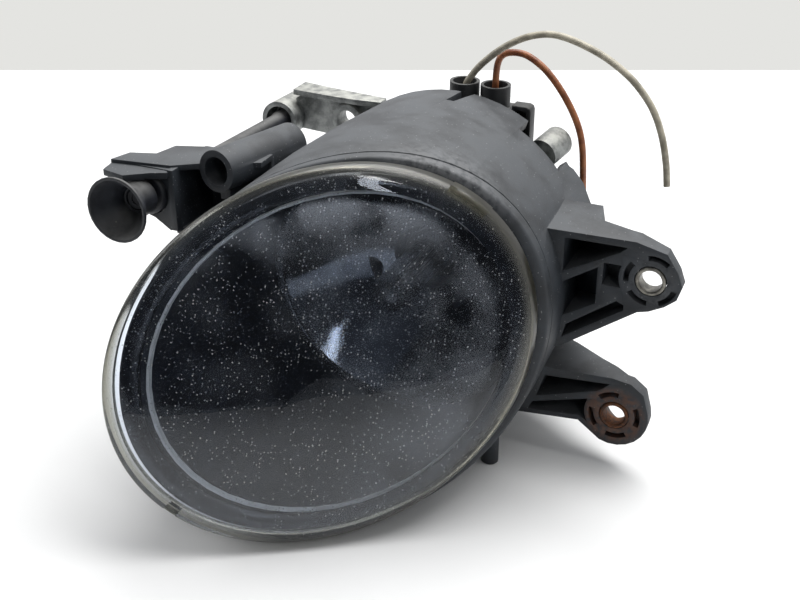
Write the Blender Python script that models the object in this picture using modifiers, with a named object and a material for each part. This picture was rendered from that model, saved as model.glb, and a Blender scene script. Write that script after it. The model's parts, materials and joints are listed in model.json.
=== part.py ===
"""Front fog light: optical unit that tilts in a moulded housing, with its aiming screw, bulb and plug."""
import math

import bmesh
import bpy
from mathutils import Matrix, Vector

MM = 0.001
GAP = 0.3                       # air left between pieces that touch

# Driving dimensions in millimetres. X is right, Y is back, Z is up.
# Places are counted from the middle of the lens rim.
ORIGIN = (4.75, 41.7, -51.9)    # the frame's origin: middle of the footprint, at the floor
AXIS_X, AXIS_Z = 1.0, -0.8      # optical axis of the housing, parallel to Y
RAKE_X, RAKE_Z = 0.607, 0.34    # slope of the front plane: y grows by these per mm of x and z

LENS_R = 50.0                   # outer edge of the lens, seen along the optical axis
LENS_WALL = 2.4
LENS_SKIRT = 4.8                # how far the edge of the lens reaches back
REFLECTOR_R = 43.8              # outside of the reflector body
LIP_R = 44.6                    # outside of the thicker lip at its front
REFLECTOR_BORE = 42.0
REFLECTOR_FRONT = 7.4           # from the lens rim plane back to the reflector's lip
FOCUS = 18.0                    # focal length of the reflector bowl
VERTEX_Y = 76.0                 # back of the bowl
COLLAR_BORE, COLLAR_R = 10.9, 14.6
COLLAR_END = 90.0

SHELL_R, SHELL_REAR_R = 50.8, 47.6
SHELL_BORE, SHELL_REAR_BORE = 48.4, 45.0
SHELL_STRAIGHT = 44.0           # the housing is a straight tube up to here, then tapers
SHELL_REAR = 98.0
RING_FRONT, RING_REAR = 8.4, 12.3
RING_BORE = 47.7
GROOVE = 0.7                    # dark line between the front ring and the housing

PIVOT_Y, PIVOT_Z = 72.0, AXIS_Z  # beam tilt axis, along X
PIN_R = 2.5
BUSH_R = 3.8
SOCKET_IN = 44.6                # from the optical axis out to the face of a pivot boss

SCREW_FRONT = Vector((-64.1, 4.9, 31.7))    # middle of the funnel's mouth
SCREW_REAR = Vector((-63.4, 98.0, 27.9))    # middle of the cast boss's front face
SCREW_DIR = (SCREW_REAR - SCREW_FRONT).normalized()
FUNNEL_R = 9.7
BEARING_AT = 16.9               # along the screw, from the mouth to the middle of its bearing
NUT_AT = 101.5                  # along the screw, from the mouth to the middle of the nut

EAR_FRONT = 58.0
EAR_HOLE_R = 3.25
UPPER_EAR = (75.8, 12.7)
LOWER_EAR = (69.1, -33.8)
BOSS_R = 9.2

BULB_X, BULB_Z = 0.8, AXIS_Z
PLUG_X, PLUG_Y = 6.25, 106.0    # middle of the plug, whose axis is vertical
PLUG_TOP = 47.8
TUBE_R, TUBE_PITCH = 4.85, 10.5
WIRE_R = 1.1

BODIES = {}
PARTS = bpy.data.collections.new("fog_light")
CUTTERS = bpy.data.collections.new("cutters")


def clear_scene():
    for old in list(bpy.data.objects):
        bpy.data.objects.remove(old, do_unlink=True)
    bpy.context.scene.collection.children.link(PARTS)
    bpy.context.scene.collection.children.link(CUTTERS)


# ---- shapes; each takes millimetres and gives an object with its place in its mesh

def add_object(name, data):
    obj = bpy.data.objects.new(name, data)
    CUTTERS.objects.link(obj)
    obj.display_type = "WIRE"
    obj.hide_render = True
    return obj


def tidy_mesh(mesh, matrix=Matrix.Identity(4)):
    bm = bmesh.new()
    bm.from_mesh(mesh)
    bmesh.ops.transform(bm, matrix=matrix, verts=bm.verts)
    bmesh.ops.remove_doubles(bm, verts=bm.verts, dist=0.002 * MM)
    bmesh.ops.recalc_face_normals(bm, faces=bm.faces)
    bm.to_mesh(mesh)
    bm.free()


def baked(obj, matrix=Matrix.Identity(4)):
    """The object with its modifiers or curve settings made into a plain welded mesh."""
    graph = bpy.context.evaluated_depsgraph_get()
    mesh = bpy.data.meshes.new_from_object(obj.evaluated_get(graph))
    tidy_mesh(mesh, matrix @ obj.matrix_world)
    name = obj.name
    bpy.data.objects.remove(obj, do_unlink=True)
    return add_object(name, mesh)


def facing(direction, centre):
    """Matrix that lays local Z along a direction, with the local origin at the centre."""
    turn = Vector(direction).to_track_quat("Z", "Y").to_matrix().to_4x4()
    return Matrix.Translation(Vector(centre) * MM) @ turn


def rake_matrix():
    """Shear along Y that lays a square-on front piece on the raked front plane."""
    shear = Matrix.Identity(4)
    shear[1][0] = RAKE_X
    shear[1][2] = RAKE_Z
    return shear


def turned(profile, centre, direction, steps=48, raked=False):
    """A profile of (radius, height) turned about a line; heights run along the direction."""
    mesh = bpy.data.meshes.new("turned")
    points = [(r * MM, 0, h * MM) for r, h in profile]
    edges = [(i, i + 1) for i in range(len(points) - 1)]
    if profile[0][0] > 0:
        edges.append((len(points) - 1, 0))
    mesh.from_pydata(points, edges, [])
    obj = add_object("turned", mesh)
    screw = obj.modifiers.new("turn", "SCREW")
    screw.steps = screw.render_steps = steps
    screw.use_merge_vertices = True
    screw.merge_threshold = 0.002 * MM
    matrix = facing(direction, centre)
    return baked(obj, rake_matrix() @ matrix if raked else matrix)


def cylinder(start, end, radius, steps=24, end_radius=None):
    start, end = Vector(start), Vector(end)
    bm = bmesh.new()
    bmesh.ops.create_cone(bm, cap_ends=True, segments=steps, radius1=radius * MM,
                          radius2=(radius if end_radius is None else end_radius) * MM,
                          depth=(end - start).length * MM)
    bmesh.ops.transform(bm, matrix=facing(end - start, (start + end) / 2), verts=bm.verts)
    mesh = bpy.data.meshes.new("cylinder")
    bm.to_mesh(mesh)
    bm.free()
    return add_object("cylinder", mesh)


def block(low, high, matrix=Matrix.Identity(4)):
    low, high = Vector(low) * MM, Vector(high) * MM
    bm = bmesh.new()
    bmesh.ops.create_cube(bm, size=1.0)
    bmesh.ops.scale(bm, vec=high - low, verts=bm.verts)
    bmesh.ops.translate(bm, vec=(low + high) / 2, verts=bm.verts)
    bmesh.ops.transform(bm, matrix=matrix, verts=bm.verts)
    mesh = bpy.data.meshes.new("block")
    bm.to_mesh(mesh)
    bm.free()
    return add_object("block", mesh)


SIDES = {"X": Matrix(((0, 0, 1, 0), (1, 0, 0, 0), (0, 1, 0, 0), (0, 0, 0, 1))),
         "Y": Matrix(((1, 0, 0, 0), (0, 0, -1, 0), (0, 1, 0, 0), (0, 0, 0, 1))),
         "Z": Matrix.Identity(4)}


def prism(points, along, low, high):
    """A flat outline, extruded along an axis. Its points are (y, z), (x, z) or (x, y)."""
    curve = bpy.data.curves.new("prism", "CURVE")
    curve.dimensions = "2D"
    curve.fill_mode = "BOTH"
    curve.extrude = (high - low) / 2 * MM
    line = curve.splines.new("POLY")
    line.points.add(len(points) - 1)
    for point, (a, b) in zip(line.points, points):
        point.co = (a * MM, b * MM, 0, 1)
    line.use_cyclic_u = True
    middle = [0, 0, 0]
    middle["XYZ".index(along)] = (low + high) / 2 * MM
    return baked(add_object("prism", curve), Matrix.Translation(middle) @ SIDES[along])


def wire(name, points, radius):
    """A round wire along a smooth curve through the route's points."""
    curve = bpy.data.curves.new(name, "CURVE")
    curve.dimensions = "3D"
    curve.bevel_depth = radius * MM
    curve.bevel_resolution = 2
    curve.use_fill_caps = True
    smooth = smooth_route(points, 5.0)
    line = curve.splines.new("POLY")
    line.points.add(len(smooth) - 1)
    for point, place in zip(line.points, smooth):
        point.co = (*(place * MM), 1)
    return baked(add_object(name, curve))


def smooth_route(points, spacing):
    """Evenly spaced points on the Catmull-Rom curve through the route's points."""
    route = [Vector(p) for p in points]
    ends = [2 * route[0] - route[1]] + route + [2 * route[-1] - route[-2]]
    fine = []
    for a, b, c, d in zip(ends, ends[1:], ends[2:], ends[3:]):
        for step in range(20):
            t = step / 20
            fine.append(0.5 * (2 * b + (c - a) * t + (2 * a - 5 * b + 4 * c - d) * t * t
                               + (3 * b - a - 3 * c + d) * t ** 3))
    fine.append(route[-1])
    total = sum((q - p).length for p, q in zip(fine, fine[1:]))
    count = round(total / spacing)
    places, walked, target = [fine[0]], 0.0, total / count
    for p, q in zip(fine, fine[1:]):
        walked += (q - p).length
        if walked >= target and len(places) < count:
            places.append(q)
            target = total / count * len(places)
    return places + [fine[-1]]


def combine(obj, operation, others):
    """Join, cut or intersect, one shape at a time; each result is welded before the next."""
    for other in others:
        step = obj.modifiers.new(operation.lower(), "BOOLEAN")
        step.operation = operation
        step.solver = "EXACT"
        step.object = other
        obj = baked(obj)
        bpy.data.objects.remove(other, do_unlink=True)
    return obj


def joined(obj, *others):
    return combine(obj, "UNION", others)


def cut(obj, *others):
    return combine(obj, "DIFFERENCE", others)


def common(obj, *others):
    return combine(obj, "INTERSECT", others)


def arc(centre, radius, start, end, count=8):
    """Points on a circle between two angles in degrees."""
    turns = [math.radians(start + (end - start) * i / count) for i in range(count + 1)]
    return [(centre[0] + radius * math.cos(t), centre[1] + radius * math.sin(t)) for t in turns]


# ---- finishing: name, material and body

FINISHES = {
    "housing_plastic": ("3A3D40", 0.62, 0.0),
    "black_plastic": ("1E1F21", 0.55, 0.0),
    "socket_plastic": ("17181A", 0.50, 0.0),
    "clear_lens": ("E6E8E4", 0.08, 0.0),
    "mirror_coat": ("9CA0A2", 0.12, 1.0),
    "chrome_edge": ("D8D6CE", 0.15, 1.0),
    "die_cast": ("8C9090", 0.55, 1.0),
    "steel": ("A9A59C", 0.35, 1.0),
    "rusted_steel": ("6B4A33", 0.75, 0.6),
    "rubber": ("151515", 0.80, 0.0),
    "quartz_glass": ("F2F4F4", 0.03, 0.0),
    "tungsten": ("B8B6B0", 0.40, 1.0),
    "copper_alloy": ("B98A4A", 0.35, 1.0),
    "white_insulation": ("B9B4A4", 0.50, 0.0),
    "brown_insulation": ("8A4F2C", 0.50, 0.0),
    "bulb_base_plastic": ("2B2A28", 0.55, 0.0),
}


def linear(channel):
    value = channel / 255
    return value / 12.92 if value <= 0.04045 else ((value + 0.055) / 1.055) ** 2.4


def material(name):
    found = bpy.data.materials.get(name)
    if found:
        return found
    colour, roughness, metallic = FINISHES[name]
    made = bpy.data.materials.new(name)
    made.use_nodes = True
    shader = made.node_tree.nodes["Principled BSDF"]
    rgb = [linear(int(colour[i:i + 2], 16)) for i in (0, 2, 4)]
    shader.inputs["Base Color"].default_value = (*rgb, 1)
    shader.inputs["Roughness"].default_value = roughness
    shader.inputs["Metallic"].default_value = metallic
    return made


def add_body(name, pivot, parent=None):
    """An empty on the joint's axis, which the body's pieces hang from."""
    empty = bpy.data.objects.new(name + "_body", None)
    empty.empty_display_size = 5 * MM
    PARTS.objects.link(empty)
    place = (Vector(pivot) - Vector(ORIGIN)) * MM
    if parent:
        empty.parent = BODIES[parent][0]
        place -= BODIES[parent][1]
    empty.location = place
    BODIES[name] = (empty, (Vector(pivot) - Vector(ORIGIN)) * MM, Vector(pivot) * MM)


def finish(obj, name, finish_name, body, smooth_angle=35):
    """Make a shape a named piece of a body, with its material."""
    obj.name = name
    obj.data.name = name
    obj.hide_render = False
    obj.display_type = "TEXTURED"
    CUTTERS.objects.unlink(obj)
    PARTS.objects.link(obj)
    obj.parent = BODIES[body][0]
    obj.location = -BODIES[body][2]
    obj.data.materials.clear()
    obj.data.materials.append(material(finish_name))
    obj.data.shade_smooth()
    obj.data.set_sharp_from_angle(angle=math.radians(smooth_angle))
    return obj


BACK = (0, 1, 0)
CENTRE = (AXIS_X, 0, AXIS_Z)


def along_screw(distance):
    return SCREW_FRONT + SCREW_DIR * distance


# ---- housing

def ear(outline, plan, pockets, pocket_plan, centre, slot_angles):
    """A moulded fixing ear: outline from the front, plan from above, with pockets between its ribs."""
    body = common(prism(outline, "Y", EAR_FRONT, EAR_FRONT + 30), prism(plan, "Z", -60, 40))
    for pocket in pockets:
        boss = cylinder((centre[0], EAR_FRONT - 5, centre[1]), (centre[0], EAR_FRONT + 40, centre[1]),
                        BOSS_R, 32)
        hollow = common(prism(pocket, "Y", EAR_FRONT - 2, EAR_FRONT + 30),
                        prism(pocket_plan, "Z", -60, 40))
        body = cut(body, cut(hollow, boss))
    for angle in slot_angles:
        slot = (arc(centre, BOSS_R - 1.3, angle - 25, angle + 25)
                + arc(centre, BOSS_R - 2.9, angle + 25, angle - 25))
        body = cut(body, prism(slot, "Y", EAR_FRONT - 2, EAR_FRONT + 3.5))
    return cut(body, cylinder((centre[0], EAR_FRONT - 2, centre[1]),
                              (centre[0], EAR_FRONT + 40, centre[1]), EAR_HOLE_R + 1.1 + GAP, 32))


def upper_ear():
    outline = [(40, 23.6), (70.9, 24), (79.7, 21.8), (83.2, 16.6), (84.8, 12.4), (83.6, 8.2), (80.3, 5.4),
               (76, 3.1), (72.8, 2.2), (51.4, -13.4), (40, -18)]
    plan = [(40, 50), (86, 50), (86, 62.2), (79.7, 62.4), (68, 65.6), (58.9, 69.2), (55.5, 79.8), (40, 80.6)]
    pockets = [[(50.2, 10.9), (50.2, 21.7), (68.6, 21.8), (66.5, 19.8)],
               [(50.9, -3.6), (50.5, 7.8), (60.5, 14.2), (60.5, 2.5)],
               [(62, 9), (62, 16), (67.6, 16), (67.6, 9)],
               [(51.2, -10.6), (52.2, -6.1), (66.6, 4.6), (70.3, 3.0)]]
    pocket_plan = [(48, 50), (68.8, 50), (68.8, 62.8), (58, 66.6), (52.8, 74), (48, 76)]
    return ear(outline, plan, pockets, pocket_plan, UPPER_EAR, (75, 165, 240, 318))


def lower_ear():
    outline = ([(34, -22.6), (47.8, -22.2), (67.6, -21.2), (73.4, -22.0), (77.4, -25.0)]
               + arc(LOWER_EAR, 10.4, 15, -112, 8) + [(58.2, -38.2), (34, -40.4)])
    plan = [(34, 50), (86, 50), (86, 62.4), (71.4, 62.8), (62, 68.8), (51.7, 76.3), (34, 86)]
    pockets = [[(44.5, -33.0), (47.0, -25.0), (67, -23.4), (64, -26.4)],
               [(42.0, -38.3), (43.6, -35.2), (62, -29.6), (62, -38.5), (58, -36.6)]]
    pocket_plan = [(40, 50), (70, 50), (70, 61.4), (60, 67), (50.4, 73.6), (40, 80)]
    return ear(outline, plan, pockets, pocket_plan, LOWER_EAR, (108, 5, 278, 196))


def bracket():
    """Carries the aiming screw and a screw tube, beside the housing's left shoulder."""
    plate = prism([(-75.3, 19.4), (-73.3, 26.1), (-65.7, 28.5), (-64, 36.1), (-54.2, 39.4), (-44, 41),
                   (-34, 41), (-34, 34), (-50.5, 26), (-56.7, 21.7)], "Z", 38.3, 40)
    lip = prism([(-74.4, 14.2), (-75.3, 19.8), (-75, 22), (-56.2, 22), (-56.2, 19), (-60.5, 17),
                 (-66.6, 12.4)], "Z", 37.0, 38.9)
    wall = prism([(-73.5, 39.2), (-56.4, 39.2), (-56.2, 20.6), (-57.5, 20.2), (-62.5, 23.5), (-70.5, 26),
                  (-74.5, 33)], "Y", 20.3, 23.3)
    side = prism([(19.7, 39.4), (19.9, 20.6), (22.6, 19.7), (40.8, 19.7), (40.8, 39.4)], "X", -56.6, -54.8)
    rear = prism([(-56.6, 39.1), (-34, 39.1), (-34, 18), (-56.6, 19.4)], "Y", 39.8, 41.6)
    base = prism([(-56.8, 22.3), (-56.8, 40.5), (-38, 40.5), (-38, 22.3)], "Z", 18.7, 20.7)
    return [plate, lip, wall, side, rear, base]


TUBE_FRONT = Vector((-43.6, 25.0, 39.1))
TUBE_REAR = Vector((-37.8, 59.0, 37.0))


def housing():
    shell = turned([(0, SHELL_REAR), (SHELL_REAR_R, SHELL_REAR), (49.6, 72), (SHELL_R, SHELL_STRAIGHT),
                    (SHELL_R, -60), (0, -60)], CENTRE, BACK, 60)
    front = block((-80, -150, -80), (80, RING_REAR + GROOVE, 80), rake_matrix())
    shell = cut(shell, front)
    tube = cylinder(TUBE_FRONT, TUBE_REAR, 6.2, 32)
    web = prism([(27, 36), (27, 30), (57, 30), (57, 34)], "X", -43.8, -40.6)
    pegs = [cylinder((x, y, ORIGIN[2]), (x, y, -36), 2.6, 20)
            for x, y in ((-34.5, 46), (34.5, 46), (-24, 84), (24, 84))]
    lug = prism([(37.5, 23), (37.2, 28.6), (41.0, 26.6), (44.5, 22.5), (47.6, 15.5), (46, 10)], "Y", 78,
                SHELL_REAR - 0.4)
    shell = joined(shell, upper_ear(), lower_ear(), *bracket(), tube, web, lug, *pegs)
    inside = turned([(0, 110), (SHELL_REAR_BORE, 110), (SHELL_REAR_BORE, SHELL_REAR), (47.0, 72),
                     (SHELL_BORE, SHELL_STRAIGHT), (SHELL_BORE, -70), (0, -70)], CENTRE, BACK, 60)
    notch = prism([(2.4, 86), (4.9, 86), (7.4, 99), (2.9, 99)], "Z", 40, 52)
    cut_out = prism([(22, 30), (26, 42), (40, 30), (30, 22)], "Y", 88, 99)
    tube_bore = cylinder(TUBE_FRONT - (TUBE_REAR - TUBE_FRONT) * 0.1,
                         TUBE_FRONT + (TUBE_REAR - TUBE_FRONT) * 0.85, 4.2, 32)
    bearing = cylinder(along_screw(BEARING_AT - 6), along_screw(BEARING_AT + 6), 6.3 + GAP, 32)
    shell = cut(shell, inside, notch, cut_out, tube_bore, bearing)
    shell = joined(shell, pivot_socket(-1), pivot_socket(1))
    bushes = cylinder((AXIS_X - SOCKET_IN - 3.2, PIVOT_Y, PIVOT_Z),
                      (AXIS_X + SOCKET_IN + 3.2, PIVOT_Y, PIVOT_Z), BUSH_R + GAP, 24)
    shell = cut(shell, bushes)
    return finish(shell, "housing", "housing_plastic", "housing")


def front_ring():
    ring = turned([(SHELL_R, RING_FRONT + 0.6), (SHELL_R - 0.6, RING_FRONT), (RING_BORE, RING_FRONT),
                   (RING_BORE, RING_REAR + 1.8), (SHELL_BORE - 0.45, RING_REAR + 1.8),
                   (SHELL_BORE - 0.45, RING_REAR), (SHELL_R, RING_REAR)], CENTRE, BACK, 60,
                  raked=True)
    return finish(ring, "front_ring", "housing_plastic", "housing")


def ear_sleeve(name, centre, finish_name):
    outer, inner = EAR_HOLE_R + 1.1, EAR_HOLE_R
    front, rear = EAR_FRONT - 0.3, EAR_FRONT + 4.4
    sleeve = turned([(outer, rear), (outer, front), (inner + 0.3, front), (inner, front + 0.3),
                     (inner, rear)], (centre[0], 0, centre[1]), BACK, 32)
    return finish(sleeve, name, finish_name, "housing")


def pivot_socket(side):
    """Boss on the inside of the housing wall that holds one pivot bush."""
    return cylinder((AXIS_X + side * SOCKET_IN, PIVOT_Y, PIVOT_Z),
                    (AXIS_X + side * (SOCKET_IN + 3.8), PIVOT_Y, PIVOT_Z), 6.6, 28)


def pivot_bush(name, side):
    outer, inner = BUSH_R, PIN_R + 0.05
    bush = turned([(outer, SOCKET_IN + 3.0), (outer, SOCKET_IN - 0.3), (inner, SOCKET_IN - 0.3),
                   (inner, SOCKET_IN + 3.0)], (AXIS_X, PIVOT_Y, PIVOT_Z), (side, 0, 0), 24)
    return finish(bush, name, "black_plastic", "housing")


# ---- aiming screw

def adjuster_bearing():
    """Ball bush that holds the screw in the bracket and lets it swing a little."""
    profile = [(6.7, 3.0), (6.7, 1.9), (6.3, 1.8), (6.3, -2.4), (5.7, -3.0), (3.2, -3.0), (3.2, 3.0)]
    bush = turned(profile, along_screw(BEARING_AT), SCREW_DIR, 24)
    return finish(bush, "adjuster_bearing", "black_plastic", "screw_swing")


def adjuster_funnel():
    """Bell mouth that guides a driver onto the screw's head."""
    profile = [(5.4, 12.2), (5.4, 6.6), (6.6, 4.2), (8.6, 1.4), (FUNNEL_R, 0.3), (FUNNEL_R, -0.6),
               (8.9, -0.6), (7.4, 2.0), (5.2, 4.8), (3.9, 7.0), (3.9, 9.0), (3.3, 9.0), (3.3, 12.2)]
    return finish(turned(profile, along_screw(0), SCREW_DIR, 28), "adjuster_funnel", "black_plastic",
                  "screw_turn")


def adjuster_rod():
    """Screw with a socket head inside the funnel and a thread at its far end."""
    profile = [(0, 112), (2.4, 112), (3.0, 111), (3.0, 92.5), (2.5, 92), (2.5, 26), (2.9, 25.6),
               (2.9, 9.3), (0, 9.3)]
    rod = turned(profile, along_screw(0), SCREW_DIR, 24)
    socket = cylinder(along_screw(8), along_screw(13), 1.7, 6)
    return finish(cut(rod, socket), "adjuster_rod", "black_plastic", "screw_turn")


def adjuster_clip():
    """Spring clip behind the bearing that keeps the screw from sliding."""
    at = BEARING_AT + 3.3
    ring = turned([(5.6, at + 1.0), (5.6, at), (3.2, at), (3.2, at + 1.0)], along_screw(0), SCREW_DIR, 24)
    gap = block((-66.0, 10, 18), (-62.2, 40, 30))
    return finish(cut(ring, gap), "adjuster_clip", "steel", "screw_swing")


def adjuster_nut():
    """Ball nut on the thread, inside the cast boss."""
    ball = 4.5
    profile = ([(3.3, 3.1)]
               + [(ball * math.cos(math.radians(a)), ball * math.sin(math.radians(a)))
                  for a in range(42, -43, -21)]
               + [(3.3, -3.1)])
    nut = turned(profile, along_screw(NUT_AT), SCREW_DIR, 20)
    return finish(nut, "adjuster_nut", "black_plastic", "nut")


# ---- optical unit

def bowl_radius(y):
    return math.sqrt(4 * FOCUS * (VERTEX_Y - y))


def reflector():
    edge = VERTEX_Y - REFLECTOR_BORE ** 2 / (4 * FOCUS)
    depths = [edge + (COLLAR_BACK - edge) * i / 5 for i in range(6)]
    inner = [(REFLECTOR_BORE, -60)] + [(bowl_radius(y), y) for y in depths]
    inner += [(COLLAR_BORE, COLLAR_BACK + 0.8), (COLLAR_BORE, 84.0), (13.1, 84.0), (13.1, 87.4),
              (COLLAR_BORE, 87.4), (COLLAR_BORE, COLLAR_END)]
    outer = [(COLLAR_R, COLLAR_END), (COLLAR_R, 76.6)]
    outer += [(bowl_radius(y) + 2.2, y + 1.6) for y in reversed(depths[:-1])]
    outer += [(REFLECTOR_R, edge - 2), (REFLECTOR_R, -60)]
    dish = turned(inner + outer, CENTRE, BACK, 40)
    lip = turned([(LIP_R, REFLECTOR_FRONT + 2.6), (LIP_R, REFLECTOR_FRONT - 2),
                  (REFLECTOR_R - 0.8, REFLECTOR_FRONT - 2), (REFLECTOR_R - 0.8, REFLECTOR_FRONT + 2.6)],
                 CENTRE, BACK, 40, raked=True)
    front = block((-80, -150, -80), (80, REFLECTOR_FRONT, 80), rake_matrix())
    dish = cut(joined(dish, lip), front)
    posts = [cylinder((x, 70, z), (x, CARRIER_FRONT - GAP, z), 3.4, 20) for x, z in screw_places()]
    dish = joined(dish, *posts)
    threads = [cylinder((x, 75.5, z), (x, 90, z), 1.5, 12) for x, z in screw_places()]
    entries = [entry_slot(angle) for angle in LUG_ANGLES]
    dish = cut(dish, *threads, *entries)
    return finish(dish, "reflector", "mirror_coat", "optical_unit")


COLLAR_BACK = VERTEX_Y - COLLAR_BORE ** 2 / (4 * FOCUS)
CARRIER_FRONT, CARRIER_BACK = 80.6, 84.4
CARRIER_BORE, CARRIER_R = COLLAR_R + GAP, 23.5
SCREW_RING = 19.4
LUG_ANGLES = (35, 155, 275)      # bulb lugs, in degrees up from the right, seen from the front
BULB_TURN = 20


def screw_places():
    return [(AXIS_X + SCREW_RING * math.cos(math.radians(a)), AXIS_Z + SCREW_RING * math.sin(math.radians(a)))
            for a in (80, 200, 320)]


def entry_slot(angle):
    """Way in through the collar for one lug, one bulb turn away from where the lug locks."""
    start, end = angle + BULB_TURN - 9, angle + BULB_TURN + 9
    points = arc((AXIS_X, AXIS_Z), 13.1, start, end, 5) + arc((AXIS_X, AXIS_Z), 10, end, start, 5)
    return prism(points, "Y", 86, COLLAR_END + 1)


# plan of a side wing of the carrier: (distance from the axis, y), out to its pivot pin
WING = [(18, 80.9), (18, 84.1), (34, 84.1), (42.4, 77.2), (42.4, 66.8), (37.4, 66.8), (37.4, 74.6),
        (30, 80.9)]


def carrier():
    """Die-cast frame behind the reflector, with the aiming arm and the right-hand boss."""
    ring = turned([(CARRIER_R, CARRIER_BACK), (CARRIER_R, CARRIER_FRONT), (CARRIER_BORE, CARRIER_FRONT),
                   (CARRIER_BORE, CARRIER_BACK)], CENTRE, BACK, 40)
    strut = prism([(-16, 81.2), (-16, 84), (-24, 92), (-27.5, 106.5), (-34, 106.5), (-31, 90),
                   (-24, 81.2)], "Z", 8, 25)
    plate = prism([(-27, 103.5), (-27, 106.8), (-50, 108.5), (-60, 108.5), (-60, 104.8), (-48, 104.8)],
                  "Z", 20, 36.6)
    plate = common(plate, prism([(-62, 24), (-62, 33), (-55, 37.2), (-40, 37.6), (-33, 36.8),
                                 (-26, 33), (-26, 20), (-36, 20), (-47, 23)], "Y", 95, 120))
    flange = prism([(-27, 102.0), (-27, 106.8), (-50, 110), (-60, 112), (-60, 103), (-46, 101.6),
                    (-36, 101.2)], "Z", 36.0, 37.8)
    barrel = cylinder(along_screw(SCREW_LENGTH), along_screw(SCREW_LENGTH + 18), 6.4, 32)
    eye = cylinder((-39.2, 101.2, 30.2), (-39.2, 106, 30.2), 5.4, 28)
    right_boss = cylinder((31.4, 94, 31.2), (33.6, 104.3, 32.6), 4.9, 28)
    web = prism([(13, 13), (17, 9), (34, 27.5), (29, 32)], "Y", 82, 94.5)
    wings = [prism([(AXIS_X + side * x, y) for x, y in WING], "Z", AXIS_Z - 5, AXIS_Z + 5)
             for side in (-1, 1)]
    ring = joined(ring, strut, plate, flange, barrel, eye, right_boss, web, *wings)
    bore = cylinder(along_screw(SCREW_LENGTH - 2), along_screw(SCREW_LENGTH + 19), 4.8, 32)
    eye_bore = cylinder((-39.2, 99, 30.2), (-39.2, 110, 30.2), 3.4, 24)
    holes = [cylinder((x, 78, z), (x, 90, z), 1.7 + GAP, 16) for x, z in screw_places()]
    collar = cylinder((AXIS_X, 70, AXIS_Z), (AXIS_X, 99, AXIS_Z), CARRIER_BORE, 40)
    pins = cylinder((-60, PIVOT_Y, PIVOT_Z), (60, PIVOT_Y, PIVOT_Z), PIN_R + GAP, 24)
    ring = cut(ring, bore, eye_bore, collar, pins, *holes)
    return finish(ring, "cast_carrier", "die_cast", "optical_unit")


SCREW_LENGTH = (SCREW_REAR - SCREW_FRONT).length


def carrier_screws():
    """Three identical cross-head screws that hold the carrier to the reflector."""
    profile = [(0, 87.4), (2.6, 87.4), (3.2, 86.6), (3.2, CARRIER_BACK + GAP),
               (1.2, CARRIER_BACK + GAP), (1.2, 76.5), (0, 76.5)]
    for number, (x, z) in enumerate(screw_places(), 1):
        screw = cut(turned(profile, (x, 0, z), BACK, 16),
                    block((x - 0.4, 86.6, z - 2.2), (x + 0.4, 89, z + 2.2)),
                    block((x - 2.2, 86.6, z - 0.4), (x + 2.2, 89, z + 0.4)))
        finish(screw, f"carrier_screw_{number}", "steel", "optical_unit")


def pivot_pin(name, side):
    """Plain pin, pressed in a wing of the carrier, that turns in the housing's bush."""
    pin = turned([(0, SOCKET_IN + 2.6), (PIN_R - 0.4, SOCKET_IN + 2.6), (PIN_R, SOCKET_IN + 2.2),
                  (PIN_R, 37.0), (0, 37.0)], (AXIS_X, PIVOT_Y, PIVOT_Z), (side, 0, 0), 24)
    return finish(pin, name, "steel", "optical_unit")


def lens():
    front = [(0, -1.6), (28, -1.1), (45, -0.1), (48.8, 0.4), (LENS_R, 2.0)]
    edge = [(LENS_R, LENS_SKIRT), (46.3, LENS_SKIRT)]
    back = [(46.3, LENS_WALL), (28, LENS_WALL - 1.1), (0, LENS_WALL - 1.6)]
    return finish(turned(front + edge + back, (0, 0, 0), BACK, 60, raked=True), "lens", "clear_lens",
                  "optical_unit")


def lens_gasket():
    ring = turned([(44.9, REFLECTOR_FRONT - GAP), (44.9, LENS_WALL + 0.4), (43.8, LENS_WALL + 0.4),
                   (43.8, REFLECTOR_FRONT - GAP)], (0.5, 0, -0.4), BACK, 48, raked=True)
    return finish(ring, "lens_gasket", "rubber", "optical_unit")


def trim_ring():
    """Bright edge ring that frames the reflector behind the lens."""
    ring = turned([(43.0, REFLECTOR_FRONT - GAP), (42.8, 6.2), (42.2, 6.2), (42.0, REFLECTOR_FRONT - GAP)],
                  CENTRE, BACK, 48, raked=True)
    return finish(ring, "trim_ring", "chrome_edge", "optical_unit")


def vent_cap():
    """Rubber breather cap on a stub low on the reflector's back."""
    x, z = AXIS_X, AXIS_Z - 29
    cap = turned([(0, 79), (3.8, 79), (4.4, 78.2), (4.4, 70.8), (2.9, 70.8), (2.9, 76), (0, 76)],
                 (x, 0, z), BACK, 20)
    return finish(cap, "vent_cap", "rubber", "optical_unit")


# ---- bulb

def bulb_base():
    body = turned([(0, 97), (9.4, 97), (10.0, 96), (10.0, 90.6), (COLLAR_BORE - 0.35, 90.6),
                   (COLLAR_BORE - 0.35, 83.4), (7.6, 82.6), (7.6, 80), (0, 80)],
                  (BULB_X + 0.2, 0, BULB_Z), BACK, 40)
    lugs = []
    for angle in LUG_ANGLES:
        points = (arc((AXIS_X, AXIS_Z), 12.7, angle - 7, angle + 7, 4)
                  + arc((AXIS_X, AXIS_Z), 9, angle + 7, angle - 7, 4))
        lugs.append(prism(points, "Y", 84.5, 86.9))
    receptacle = block((-4.4, 96, -9), (16.9, 113.4, 21))
    body = joined(body, receptacle, *lugs)
    well = block((-2.6, 99.2, -2), (15.1, 111.6, 22))
    seat = cylinder((AXIS_X, 78, AXIS_Z), (AXIS_X, 86, AXIS_Z), 6.0 + GAP, 28)
    contacts = [block((PLUG_X + dx - 1.5, 104.9, -5), (PLUG_X + dx + 1.5, 107.1, 0)) for dx in (-4, 4)]
    body = cut(body, well, seat, *contacts)
    return finish(body, "bulb_base", "bulb_base_plastic", "bulb")


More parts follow.
